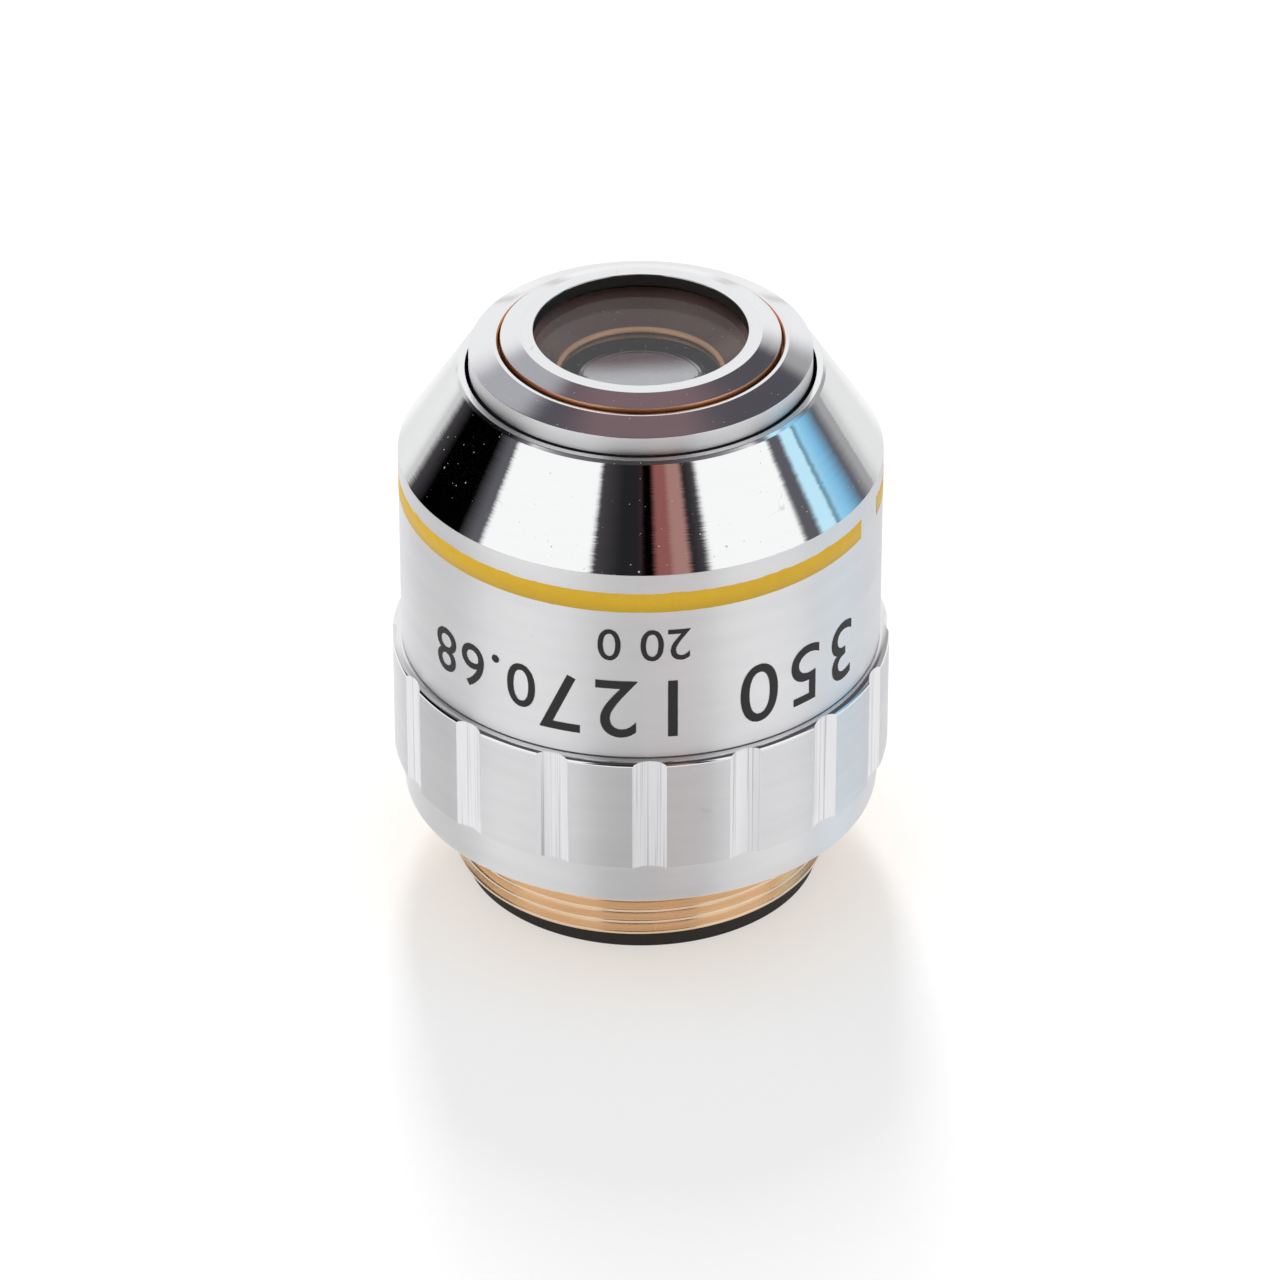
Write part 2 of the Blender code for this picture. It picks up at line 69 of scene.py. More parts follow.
def around(radius, angle, height):
    # a point at this distance from the axis, from millimetres to metres
    return (radius * math.cos(angle) * mm, radius * math.sin(angle) * mm, height * mm)


def asData(mesh, name):
    data = bpy.data.meshes.new(name)
    mesh.to_mesh(data)
    mesh.free()
    return data


def roundCorners(outline, closed):
    # every corner is (radius, height, fillet); a fillet becomes a short arc
    points = []
    count = len(outline)
    steps = lathe["filletSteps"]
    for i, (r, z, fillet) in enumerate(outline):
        here = Vector((r, z))
        isEnd = not closed and i in (0, count - 1)
        if fillet <= 0 or isEnd:
            points.append(here)
            continue
        before = Vector(outline[i - 1][:2])
        after = Vector(outline[(i + 1) % count][:2])
        inward = (before - here).normalized()
        outward = (after - here).normalized()
        half = inward.angle(outward) / 2
        shortest = min((before - here).length, (after - here).length)
        reach = min(fillet / math.tan(half), shortest * lathe["filletShare"])
        for k in range(steps + 1):
            t = k / steps
            a = here + inward * reach * (1 - t) ** 2
            points.append(a + outward * reach * t ** 2)
    return points


def holdEdges(points, closed):
    # extra points beside the corners keep the long faces' shading straight
    hold = lathe["hold"]
    held = []
    count = len(points)
    for i, here in enumerate(points):
        held.append(here)
        if not closed and i == count - 1:
            break
        after = points[(i + 1) % count]
        length = (after - here).length
        if length > hold * 4:
            step = (after - here) * (hold / length)
            held.append(here + step)
            held.append(after - step)
    return held


def latheMesh(name, outline, closed=True, steps=lathe["steps"]):
    points = holdEdges(roundCorners(outline, closed), closed)
    mesh = bmesh.new()
    rings = []
    for point in points:
        if point.x < 1e-6:
            ring = [mesh.verts.new((0, 0, point.y * mm))] * steps
        else:
            ring = [mesh.verts.new(around(point.x, math.tau * k / steps, point.y)) for k in range(steps)]
        rings.append(ring)
    pairs = list(zip(rings, rings[1:]))
    if closed:
        pairs.append((rings[-1], rings[0]))
    for upper, lower in pairs:
        for k in range(steps):
            nextK = (k + 1) % steps
            corners = [upper[k], lower[k], lower[nextK], upper[nextK]]
            corners = [c for n, c in enumerate(corners) if c not in corners[:n]]
            if len(corners) > 2:
                mesh.faces.new(corners)
    bmesh.ops.recalc_face_normals(mesh, faces=mesh.faces)
    return asData(mesh, name)


def addPiece(name, data, body, materials, sharp=28):
    piece = bpy.data.objects.new(name, data)
    scene.collection.objects.link(piece)
    for material in materials:
        data.materials.append(material)
    data.shade_smooth()
    data.set_sharp_from_angle(angle=math.radians(sharp))
    # a piece that stretches between two bodies is given none here
    if body:
        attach(piece, body)
    return piece


def cutAway(data, cutterData):
    # the cut faces take the cutter's material, when it has one
    blank = bpy.data.objects.new("blank", data)
    cutter = bpy.data.objects.new("cutter", cutterData)
    scene.collection.objects.link(blank)
    scene.collection.objects.link(cutter)
    cut = blank.modifiers.new("cut", "BOOLEAN")
    cut.operation = "DIFFERENCE"
    cut.solver = "EXACT"
    cut.material_mode = "TRANSFER"
    cut.object = cutter
    bpy.context.view_layer.update()
    result = bpy.data.meshes.new_from_object(blank.evaluated_get(bpy.context.evaluated_depsgraph_get()))
    if not data.materials:
        result.materials.clear()
    bpy.data.objects.remove(blank)
    bpy.data.objects.remove(cutter)
    return result


def boxMesh(size, middle):
    mesh = bmesh.new()
    place = Matrix.Translation(Vector(middle) * mm) @ Matrix.Diagonal((*[side * mm for side in size], 1))
    bmesh.ops.create_cube(mesh, size=1.0, matrix=place)
    return asData(mesh, "boxCutter")


# Small helpers for node trees


def plug(tree, socket, value):
    if isinstance(value, bpy.types.NodeSocket):
        tree.links.new(value, socket)
    else:
        socket.default_value = value


def mathNode(tree, operation, a, b=0.0, clamp=False):
    node = tree.nodes.new("ShaderNodeMath")
    node.operation = operation
    node.use_clamp = clamp
    plug(tree, node.inputs[0], a)
    plug(tree, node.inputs[1], b)
    return node.outputs[0]


def times(tree, a, b):
    return mathNode(tree, "MULTIPLY", a, b)


def minus(tree, a, b, clamp=False):
    return mathNode(tree, "SUBTRACT", a, b, clamp)


def plus(tree, a, b):
    return mathNode(tree, "ADD", a, b)


def mixColor(tree, factor, a, b, blend="MIX"):
    node = tree.nodes.new("ShaderNodeMix")
    node.data_type = "RGBA"
    node.blend_type = blend
    plug(tree, node.inputs[0], factor)
    plug(tree, node.inputs[6], a)
    plug(tree, node.inputs[7], b)
    return node.outputs[2]


def softStep(tree, value, low, high):
    node = tree.nodes.new("ShaderNodeMapRange")
    node.interpolation_type = "SMOOTHSTEP"
    plug(tree, node.inputs["Value"], value)
    node.inputs["From Min"].default_value = low
    node.inputs["From Max"].default_value = high
    return node.outputs["Result"]


def noise(tree, vector, scale, detail=2.0, roughness=0.5):
    node = tree.nodes.new("ShaderNodeTexNoise")
    plug(tree, node.inputs["Vector"], vector)
    plug(tree, node.inputs["Scale"], scale)
    node.inputs["Detail"].default_value = detail
    node.inputs["Roughness"].default_value = roughness
    return node.outputs["Fac"]


def newGroup(name, inputs, outputs):
    tree = bpy.data.node_groups.new(name, "ShaderNodeTree")
    for label, kind, value in inputs:
        socket = tree.interface.new_socket(label, in_out="INPUT", socket_type=kind)
        if value is not None:
            socket.default_value = value
    for label, kind in outputs:
        tree.interface.new_socket(label, in_out="OUTPUT", socket_type=kind)
    return tree, tree.nodes.new("NodeGroupInput"), tree.nodes.new("NodeGroupOutput")


def useGroup(tree, group, values):
    node = tree.nodes.new("ShaderNodeGroup")
    node.node_tree = group
    for label, value in values.items():
        plug(tree, node.inputs[label], value)
    return node


def objectPosition(tree):
    # position in millimetres, as x, y, z and the distance from the axis
    coords = tree.nodes.new("ShaderNodeTexCoord")
    scale = tree.nodes.new("ShaderNodeVectorMath")
    scale.operation = "SCALE"
    tree.links.new(coords.outputs["Object"], scale.inputs[0])
    scale.inputs["Scale"].default_value = 1 / mm
    parts = tree.nodes.new("ShaderNodeSeparateXYZ")
    tree.links.new(scale.outputs[0], parts.inputs[0])
    x, y, z = parts.outputs
    squares = plus(tree, times(tree, x, x), times(tree, y, y))
    return scale.outputs[0], x, y, z, mathNode(tree, "SQRT", squares)


def combine(tree, x, y, z):
    node = tree.nodes.new("ShaderNodeCombineXYZ")
    plug(tree, node.inputs[0], x)
    plug(tree, node.inputs[1], y)
    plug(tree, node.inputs[2], z)
    return node.outputs[0]


# Shared effects


turning = {"fineShare": 0.75, "broadScale": 0.15, "broadAlong": 0.12, "lean": 5.0}


def makeTurningGroup(t):
    # fine grooves left by the lathe: they run round the axis, on flats, cones and cylinders alike
    tree, given, out = newGroup(
        "turningMarks",
        [("Pitch", "NodeSocketFloat", 0.06), ("Waver", "NodeSocketFloat", 0.35),
         ("Comb", "NodeSocketFloat", 0.0)],
        [("Height", "NodeSocketFloat"), ("Streak", "NodeSocketFloat"), ("Normal", "NodeSocketVector")],
    )
    _, x, y, z, radius = objectPosition(tree)
    along = mathNode(tree, "DIVIDE", minus(tree, z, radius), given.outputs["Pitch"])
    waver = given.outputs["Waver"]
    fine = noise(tree, combine(tree, times(tree, x, waver), times(tree, y, waver), along), 1.0, 3.0, 0.65)
    slow = t["broadScale"]
    farAlong = times(tree, along, t["broadAlong"])
    broad = noise(tree, combine(tree, times(tree, x, slow), times(tree, y, slow), farAlong), 1.0, 2.0, 0.5)
    height = plus(tree, times(tree, fine, t["fineShare"]), times(tree, broad, 1 - t["fineShare"]))
    tree.links.new(height, out.inputs["Height"])
    tree.links.new(broad, out.inputs["Streak"])
    # each groove leans a little to one side, so an upright reflection gets a comb-like edge
    lean = times(tree, minus(tree, fine, 0.5), given.outputs["Comb"])
    lean = mathNode(tree, "DIVIDE", times(tree, lean, t["lean"]), radius)
    sideways = combine(tree, times(tree, times(tree, y, -1.0), lean), times(tree, x, lean), 0.0)
    surface = tree.nodes.new("ShaderNodeNewGeometry")
    total = tree.nodes.new("ShaderNodeVectorMath")
    total.operation = "ADD"
    tree.links.new(surface.outputs["Normal"], total.inputs[0])
    tree.links.new(sideways, total.inputs[1])
    tree.links.new(total.outputs[0], out.inputs["Normal"])
    return tree


wear = {
    "speckLayers": ((0.9, 0.13), (2.1, 0.17), (3.7, 0.20)), "speckFloor": 0.45, "speckEdge": 60.0,
    "scratchScale": 0.55, "scratchFine": 260.0, "gateScale": 0.35, "gate": (0.60, 0.66), "smudgeScale": 0.22,
}


def makeWearGroup(w):
    # dust specks, hair-thin scratches and faint smudges
    tree, given, out = newGroup(
        "wearAndDust",
        [("Specks", "NodeSocketFloat", 0.5), ("Scratches", "NodeSocketFloat", 0.5)],
        [("Dust", "NodeSocketFloat"), ("Scratch", "NodeSocketFloat"), ("Smudge", "NodeSocketFloat")],
    )
    position, *_ = objectPosition(tree)
    dust = None
    for scale, size in w["speckLayers"]:
        cells = tree.nodes.new("ShaderNodeTexVoronoi")
        plug(tree, cells.inputs["Vector"], position)
        cells.inputs["Scale"].default_value = scale
        pick = tree.nodes.new("ShaderNodeSeparateColor")
        tree.links.new(cells.outputs["Color"], pick.inputs[0])
        grain = times(tree, minus(tree, pick.outputs[0], w["speckFloor"]), size)
        spot = minus(tree, grain, cells.outputs["Distance"])
        spot = mathNode(tree, "MULTIPLY", spot, w["speckEdge"], clamp=True)
        dust = spot if dust is None else mathNode(tree, "MAXIMUM", dust, spot)
    tree.links.new(times(tree, dust, given.outputs["Specks"]), out.inputs["Dust"])
    lines = minus(tree, noise(tree, position, w["scratchScale"], 1.0), 0.5)
    thin = minus(tree, 1.0, times(tree, mathNode(tree, "ABSOLUTE", lines), w["scratchFine"]), clamp=True)
    gate = softStep(tree, noise(tree, position, w["gateScale"], 2.0), *w["gate"])
    scratch = times(tree, thin, gate)
    tree.links.new(times(tree, scratch, given.outputs["Scratches"]), out.inputs["Scratch"])
    tree.links.new(noise(tree, position, w["smudgeScale"], 4.0, 0.6), out.inputs["Smudge"])
    return tree


turningGroup = makeTurningGroup(turning)
wearGroup = makeWearGroup(wear)


# Materials


def startMaterial(name):
    material = bpy.data.materials.new(name)
    material.use_nodes = True
    tree = material.node_tree
    return material, tree, tree.nodes["Principled BSDF"]


def addBump(tree, shader, height, distance, normal=None):
    bump = tree.nodes.new("ShaderNodeBump")
    if normal is not None:
        tree.links.new(normal, bump.inputs["Normal"])
    plug(tree, bump.inputs["Height"], height)
    bump.inputs["Distance"].default_value = distance
    bump.inputs["Strength"].default_value = 1.0
    tree.links.new(bump.outputs["Normal"], shader.inputs["Normal"])


# how dust and scratches change the surface under them
grime = {
    "dustRough": 0.5, "scratchRough": 0.3, "dustDull": 0.8, "glassRough": 0.6, "glassDust": (0.9, 0.9, 0.92),
}


def makePlate(name, look):
    # chrome plate on turned brass, from mirror to satin, and the bare brass itself
    material, tree, shader = startMaterial(name)
    marks = useGroup(tree, turningGroup,
                     {"Pitch": look["pitch"], "Waver": look["waver"], "Comb": look["comb"]})
    worn = useGroup(tree, wearGroup, {"Specks": look["specks"], "Scratches": look["scratches"]})
    dust, scratch = worn.outputs["Dust"], worn.outputs["Scratch"]
    tint = mixColor(tree, marks.outputs["Streak"], (*look["dark"], 1), (*look["light"], 1))
    tint = mixColor(tree, dust, tint, (*look["dustColor"], 1))
    tint = mixColor(tree, scratch, tint, (*look["dustColor"], 1))
    tree.links.new(tint, shader.inputs["Base Color"])
    rough = plus(tree, times(tree, worn.outputs["Smudge"], look["smudge"]), look["roughness"])
    rough = plus(tree, rough, times(tree, dust, grime["dustRough"]))
    rough = plus(tree, rough, times(tree, scratch, grime["scratchRough"]))
    tree.links.new(rough, shader.inputs["Roughness"])
    metal = minus(tree, 1.0, times(tree, dust, grime["dustDull"]), clamp=True)
    tree.links.new(metal, shader.inputs["Metallic"])
    shader.inputs["Anisotropic"].default_value = look["brushed"]
    shader.inputs["Anisotropic Rotation"].default_value = 0.25
    addBump(tree, shader, marks.outputs["Height"], look["depth"] * mm, normal=marks.outputs["Normal"])
    return material


plateLooks = {
    "mirrorPlate": {
        "pitch": 0.055, "waver": 0.10, "specks": 1.0, "scratches": 0.6, "depth": 0.0004, "comb": 0.008,
        "dark": (0.91, 0.915, 0.92), "light": (0.935, 0.94, 0.945), "dustColor": (0.75, 0.78, 0.82),
        "roughness": 0.03, "smudge": 0.02, "brushed": 0.0,
    },
    "satinPlate": {
        "pitch": 0.11, "waver": 0.12, "specks": 0.0, "scratches": 0.1, "depth": 0.0016, "comb": 0.0,
        "dark": (0.87, 0.87, 0.885), "light": (0.96, 0.96, 0.97), "dustColor": (0.40, 0.40, 0.42),
        "roughness": 0.44, "smudge": 0.04, "brushed": 0.9,
    },
    "bevelPlate": {
        "pitch": 0.05, "waver": 0.25, "specks": 0.5, "scratches": 0.5, "depth": 0.0005, "comb": 0.006,
        "dark": (0.88, 0.88, 0.89), "light": (0.93, 0.93, 0.935), "dustColor": (0.75, 0.77, 0.80),
        "roughness": 0.075, "smudge": 0.05, "brushed": 0.2,
    },
    "collarPlate": {
        "pitch": 0.09, "waver": 0.15, "specks": 0.05, "scratches": 0.1, "depth": 0.0014, "comb": 0.0,
        "dark": (0.86, 0.86, 0.875), "light": (0.95, 0.95, 0.96), "dustColor": (0.35, 0.34, 0.34),
        "roughness": 0.42, "smudge": 0.05, "brushed": 0.97,
    },
    "nakedBrass": {
        "pitch": 0.06, "waver": 0.3, "specks": 0.1, "scratches": 0.2, "depth": 0.0018, "comb": 0.01,
        "dark": (0.78, 0.57, 0.40), "light": (0.99, 0.81, 0.60), "dustColor": (0.55, 0.44, 0.32),
        "roughness": 0.19, "smudge": 0.08, "brushed": 0.86,
    },
    "copperEdge": {
        "pitch": 0.05, "waver": 0.4, "specks": 0.1, "scratches": 0.2, "depth": 0.0018, "comb": 0.01,
        "dark": (0.72, 0.36, 0.19), "light": (0.98, 0.62, 0.38), "dustColor": (0.55, 0.44, 0.32),
        "roughness": 0.28, "smudge": 0.12, "brushed": 0.2,
    },
    "rimPlate": {
        "pitch": 0.05, "waver": 0.25, "specks": 0.5, "scratches": 0.5, "depth": 0.0005, "comb": 0.006,
        "dark": (0.92, 0.92, 0.93), "light": (0.98, 0.98, 0.985), "dustColor": (0.75, 0.77, 0.80),
        "roughness": 0.10, "smudge": 0.05, "brushed": 0.3,
    },
}
plates = {name: makePlate(name, look) for name, look in plateLooks.items()}


fluteLook = {
    "spacing": 9.0, "slope": 0.05, "depth": 0.006, "worn": (0.28, 0.5), "roughness": 0.26, "uneven": 0.16,
    "dark": (0.44, 0.44, 0.46), "light": (0.79, 0.79, 0.805),
}


def makeFluteFinish(look):
    # the flutes were milled along the axis, so their marks stand upright
    material, tree, shader = startMaterial("flutePlate")
    _, x, y, z, _ = objectPosition(tree)
    across = look["spacing"]
    upright = combine(tree, times(tree, x, across), times(tree, y, across), times(tree, z, look["slope"]))
    marks = noise(tree, upright, 1.0, 3.0, 0.7)
    worn = softStep(tree, marks, *look["worn"])
    tree.links.new(mixColor(tree, worn, (*look["dark"], 1), (*look["light"], 1)), shader.inputs["Base Color"])
    shader.inputs["Metallic"].default_value = 1.0
    rough = plus(tree, times(tree, marks, look["uneven"]), look["roughness"])
    tree.links.new(rough, shader.inputs["Roughness"])
    addBump(tree, shader, marks, look["depth"] * mm)
    return material


blackSpeckle = {"scale": 9.0, "deep": 0.5, "pale": 1.7, "uneven": 0.2}
blackLooks = {
    "blackAnodise": {"color": (0.020, 0.017, 0.015), "roughness": 0.55, "grain": 0.03, "shine": 0.4},
    "figurePaint": {"color": (0.010, 0.008, 0.009), "roughness": 0.5, "grain": 0.004, "shine": 0.5},
}


def makeBlackFinish(name, look):
    material, tree, shader = startMaterial(name)
    position, *_ = objectPosition(tree)
    speckle = noise(tree, position, blackSpeckle["scale"], 4.0, 0.7)
    deep = [c * blackSpeckle["deep"] for c in look["color"]]
    pale = [c * blackSpeckle["pale"] for c in look["color"]]
    tree.links.new(mixColor(tree, speckle, (*deep, 1), (*pale, 1)), shader.inputs["Base Color"])
    shader.inputs["Specular IOR Level"].default_value = look["shine"]
    rough = plus(tree, times(tree, speckle, blackSpeckle["uneven"]), look["roughness"])
    tree.links.new(rough, shader.inputs["Roughness"])
    addBump(tree, shader, speckle, look["grain"] * mm)
    return material


yellowLook = {
    "color": (0.96, 0.61, 0.028), "shade": (0.84, 0.49, 0.02),
    "roughness": 0.38, "uneven": 0.2, "depth": 0.006,
}


def makeEnamel(name, look):
    # paint laid in by hand, a little uneven in colour and level
    material, tree, shader = startMaterial(name)
    position, *_ = objectPosition(tree)
    cloud = noise(tree, position, 1.3, 5.0, 0.6)
    tint = mixColor(tree, cloud, (*look["shade"], 1), (*look["color"], 1))
    tree.links.new(tint, shader.inputs["Base Color"])
    rough = plus(tree, times(tree, cloud, look["uneven"]), look["roughness"])
    tree.links.new(rough, shader.inputs["Roughness"])
    addBump(tree, shader, noise(tree, position, 3.0, 3.0), look["depth"] * mm)
    return material


glassCoat = {"index": 4.0, "roughness": 0.02, "tint": (0.85, 0.92, 1.0)}
# the low index stands for a bloomed surface, which mirrors less than bare glass
glassLooks = {
    "frontGlass": {"tint": (0.96, 0.96, 0.97), "index": 1.22, "coat": 0.0},
    # innerGlass is tinted nearly black: painted shade for the dark inside of the objective seen through it
    "innerGlass": {"tint": (0.12, 0.12, 0.13), "index": 3.2, "coat": 1.0},
}


def makeGlass(name, look):
    material, tree, shader = startMaterial(name)
    worn = useGroup(tree, wearGroup, {"Specks": 0.6, "Scratches": 0.0})
    dust = worn.outputs["Dust"]
    tint = mixColor(tree, dust, (*look["tint"], 1), (*grime["glassDust"], 1))
    tree.links.new(tint, shader.inputs["Base Color"])
    tree.links.new(times(tree, dust, grime["glassRough"]), shader.inputs["Roughness"])
    shader.inputs["Metallic"].default_value = 0.0
    shader.inputs["Transmission Weight"].default_value = 1.0
    shader.inputs["IOR"].default_value = look["index"]
    shader.inputs["Coat Weight"].default_value = look["coat"]
    shader.inputs["Coat IOR"].default_value = glassCoat["index"]
    shader.inputs["Coat Roughness"].default_value = glassCoat["roughness"]
    shader.inputs["Coat Tint"].default_value = (*glassCoat["tint"], 1)
    return material


# lip is the painted highlight colour of the inner lip ring
baffleLook = {
    "lipRadius": 4.42, "lipWidth": 0.05, "lip": (1.0, 0.58, 0.34), "dish": (0.27, 0.18, 0.155),
    "wallRadius": 6.2, "wallBlend": 0.02, "wall": (0.75, 0.64, 0.61), "metal": 0.75, "lipDull": 0.35,
    "roughness": 0.32, "depth": 0.004,
}


def makeBaffleFinish(look):
    # oxidised turned brass, dark in the dish; the inner lip is bare brass, painted bright copper and made
    # less metallic as a painted highlight ring
    material, tree, shader = startMaterial("baffleFinish")
    *_, radius = objectPosition(tree)
    marks = useGroup(tree, turningGroup, {"Pitch": 0.05, "Waver": 0.2})
    lipEnd = look["lipRadius"] + look["lipWidth"]
    lip = minus(tree, 1.0, softStep(tree, radius, look["lipRadius"], lipEnd))
    pale = [c * 1.6 for c in look["dish"]]
    cloud = mixColor(tree, marks.outputs["Streak"], (*look["dish"], 1), (*pale, 1))
    wall = softStep(tree, radius, look["wallRadius"], look["wallRadius"] + look["wallBlend"])
    cloud = mixColor(tree, wall, cloud, (*look["wall"], 1))
    # painted highlight: the narrow lip band takes the bright copper colour
    tree.links.new(mixColor(tree, lip, cloud, (*look["lip"], 1)), shader.inputs["Base Color"])
    dull = mathNode(tree, "MAXIMUM", wall, times(tree, lip, look["lipDull"]))
    tree.links.new(minus(tree, look["metal"], dull, clamp=True), shader.inputs["Metallic"])
    shader.inputs["Roughness"].default_value = look["roughness"]
    addBump(tree, shader, marks.outputs["Height"], look["depth"] * mm)
    return material


flutePlate = makeFluteFinish(fluteLook)
blackFinish, blackPaint = [makeBlackFinish(name, look) for name, look in blackLooks.items()]
yellowEnamel = makeEnamel("yellowEnamel", yellowLook)
frontGlass, innerGlass = [makeGlass(name, look) for name, look in glassLooks.items()]
baffleFinish = makeBaffleFinish(baffleLook)
print("materials made:", len(bpy.data.materials))


# Outer sleeve: skirt, mirror cone and thin front rim

sleeve = {
    "bodyRadius": 12.80, "boreRadius": 11.39, "skirtBottom": 14.29, "coneBottom": 25.52,
    "coneTop": 30.29, "coneTopRadius": 9.70, "rimRadius": 9.55, "rimTop": 30.45, "noseBore": 9.22,
    "edge": 0.03, "skirtEdge": 0.05, "wall": 1.31,
}


def makeSleeve(s):
    slope = (s["bodyRadius"] - s["coneTopRadius"]) / (s["coneTop"] - s["coneBottom"])
    boreTop = s["coneBottom"] + (s["bodyRadius"] - s["wall"] - s["boreRadius"]) / slope
    landBottom = s["coneBottom"] + (s["bodyRadius"] - s["wall"] - s["noseBore"]) / slope
    outline = [
        (s["noseBore"], s["rimTop"], s["edge"]),
        (s["rimRadius"], s["rimTop"], s["edge"]),
        (s["coneTopRadius"], s["coneTop"], s["edge"]),
        (s["bodyRadius"], s["coneBottom"], s["edge"]),
        (s["bodyRadius"], s["skirtBottom"], s["skirtEdge"]),
        (s["boreRadius"], s["skirtBottom"], 0),
        (s["boreRadius"], boreTop, 0),
        (s["noseBore"], landBottom, 0),
    ]
    data = latheMesh("sleeve_shell", outline)
    piece = addPiece("sleeve_shell", data, "housing",
                     [plates["satinPlate"], plates["mirrorPlate"], plates["rimPlate"], blackFinish])
    coneLow = (s["coneBottom"] + 0.01) * mm
    coneHigh = (s["coneTop"] + 0.01) * mm
    for face in data.polygons:
        height = face.center.z
        if Vector(face.center[:2]).length < (s["noseBore"] + 0.005) * mm:
            face.material_index = 3
        elif coneLow < height < coneHigh and face.normal.z > 0.3:
            face.material_index = 1
        elif height >= coneHigh:
            face.material_index = 2
    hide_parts("outer_sleeve")


makeSleeve(sleeve)


# Sliding barrel and front cell

barrel = {
    "cellHole": 7.50, "bareEdge": 0.07, "rimRadius": 7.76, "radius": 9.02, "top": 32.06, "bevel": 0.58,
    "flangeTop": 18.01, "flangeBottom": 13.03, "flangeRadius": 10.09, "tailRadius": 8.2, "tailBottom": 11.03,
    "tailBore": 6.25, "seat": 14.69, "bore": 7.05, "holeBottom": 30.89, "slotWidth": 1.3, "slotFloor": 9.2,
    "plateEnd": 30.47,
}


def makeBarrel(b):
    outline = [
        (b["cellHole"], b["top"] - b["bareEdge"], 0),
        (b["cellHole"] + b["bareEdge"], b["top"], 0),
        (b["rimRadius"], b["top"], 0.03),
        (b["radius"], b["top"] - b["bevel"], 0.03),
        (b["radius"], b["plateEnd"], 0),
        (b["radius"], b["flangeTop"], 0),
        (b["flangeRadius"], b["flangeTop"], 0.1),
        (b["flangeRadius"], b["flangeBottom"], 0.1),
        (b["tailRadius"], b["flangeBottom"], 0),
        (b["tailRadius"], b["tailBottom"], 0.1),
        (b["tailBore"], b["tailBottom"], 0),
        (b["tailBore"], b["seat"], 0),
        (b["bore"], b["seat"], 0),
        (b["bore"], b["holeBottom"], 0),
        (b["cellHole"], b["holeBottom"], 0),
    ]
    # the guide slot in the flange is open at both ends
    length = b["flangeTop"] - b["flangeBottom"]
    middle = (b["flangeTop"] + b["flangeBottom"]) / 2
    slot = boxMesh((b["slotWidth"], 2.0, length + 0.4), (0, b["slotFloor"] + 1.0, middle))
    data = cutAway(latheMesh("sliding_barrel", outline), slot)
    piece = addPiece("sliding_barrel", data, "nose",
                     [plates["bevelPlate"], plates["copperEdge"], plates["satinPlate"], blackFinish])
    for face in data.polygons:
        reach = Vector(face.center[:2]).length / mm
        if reach < b["cellHole"] + b["bareEdge"] and face.center.z / mm > b["holeBottom"]:
            face.material_index = 1
        elif face.center.z / mm < b["plateEnd"]:
            face.material_index = 3
        elif face.center.z / mm < b["top"] - b["bevel"] - 0.02:
            face.material_index = 2
    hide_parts("inner_barrel")


makeBarrel(barrel)

cell = {
    "aperture": 5.64, "flatRadius": 6.37, "radius": 7.36, "bevel": 0.36, "head": 1.7, "lip": 0.67,
    "spigot": 7.01, "pocket": 6.23, "spigotLength": 3.9,
}


def makeFrontCell(c):
    low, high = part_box("front_cell")
    top = high.z / mm
    outline = [
        (c["aperture"], top, 0.04),
        (c["flatRadius"], top, 0.02),
        (c["radius"], top - c["bevel"], 0.03),
        (c["radius"], top - c["head"], 0),
        (c["spigot"], top - c["head"], 0),
        (c["spigot"], top - c["head"] - c["spigotLength"], 0),
        (c["pocket"], top - c["head"] - c["spigotLength"], 0),
        (c["pocket"], top - c["lip"], 0),
        (c["aperture"], top - c["lip"], 0.03),
    ]
    data = latheMesh("front_cell_bevelled", outline)
    piece = addPiece("front_cell_bevelled", data, "nose",
                     [plates["bevelPlate"], plates["copperEdge"], blackFinish, baffleFinish])
    for face in data.polygons:
        reach = Vector(face.center[:2]).length / mm
        depth = top - face.center.z / mm
        if reach > c["radius"] - 0.02:
            face.material_index = 1
        elif depth > c["lip"] + 1.4 or (reach < c["aperture"] + 0.02 and depth > 0.05):
            face.material_index = 2
        elif depth > c["lip"] - 0.01 and reach < c["spigot"]:
            face.material_index = 3
    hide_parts("front_cell")


makeFrontCell(cell)
print("nose made")


# Front glasses and the dished baffle between them


def capPoints(radius, sag, edgeHeight, steps=24):
    if sag == 0:
        return [(radius * k / steps, edgeHeight, 0) for k in range(steps + 1)]
    curve = (radius ** 2 + sag ** 2) / (2 * abs(sag))
    points = []
    for k in range(steps + 1):
        r = radius * k / steps
        rise = math.sqrt(curve ** 2 - r ** 2) - (curve - abs(sag))
        points.append((r, edgeHeight + math.copysign(rise, sag), 0))
    return points


glasses = {
    "front_lens": {
        "name": "front_glass", "material": frontGlass,
        "topEdge": 31.92, "topSag": 0.0, "bottomSag": 0.0, "bottomRadius": 6.0,
    },
    "front_meniscus": {
        "name": "second_glass", "material": innerGlass,
        "topEdge": 29.99, "topSag": -0.99, "bottomSag": -0.75, "bottomRadius": 4.9,
    },
}


def makeGlasses(glasses):
    for node, g in glasses.items():
        low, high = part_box(node)
        radius = high.x / mm
        bottomEdge = low.z / mm
        outline = capPoints(radius, g["topSag"], g["topEdge"]) + [(radius, bottomEdge, 0)]
        outline += capPoints(g["bottomRadius"], g["bottomSag"], bottomEdge)[::-1]
        data = latheMesh(g["name"], outline, closed=False, steps=180)
        piece = addPiece(g["name"], data, "nose", [g["material"]], sharp=40)
        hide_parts(node)


makeGlasses(glasses)

dish = {
    "radius": 6.19, "top": 31.28, "wall": 0.18, "lipRadius": 4.35, "lipHeight": 29.72, "roll": 0.12,
    "rollFrom": 70.0, "rollSweep": 240.0, "rollSteps": 12,
}


